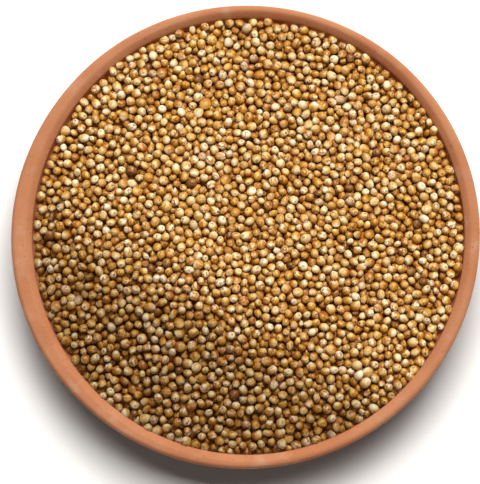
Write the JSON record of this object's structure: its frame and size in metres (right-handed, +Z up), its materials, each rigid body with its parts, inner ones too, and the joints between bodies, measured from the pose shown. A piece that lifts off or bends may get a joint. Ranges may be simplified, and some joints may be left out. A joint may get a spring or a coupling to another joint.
{
  "type": "dish of kodo millet",
  "caption": "Small round terracotta bowl with a plain rounded lip and a flat base, filled to the brim with an off-centre heap of pale golden millet grains.",
  "frame": {"origin": "middle of the round base that the bowl stands on", "axes": "+Z up along the bowl's axis, +Y away from the viewer, +X to the viewer's right; the heap's crest lies towards -X and -Y"},
  "size_m": [0.1, 0.1, 0.038],
  "materials": {
    "terracotta": "unglazed fired clay, matt",
    "millet": "dry husked grain, satin"
  },
  "bodies": {
    "root": {"terracotta_bowl": "terracotta", "millet_heap": "millet"}
  },
  "joints": []
}
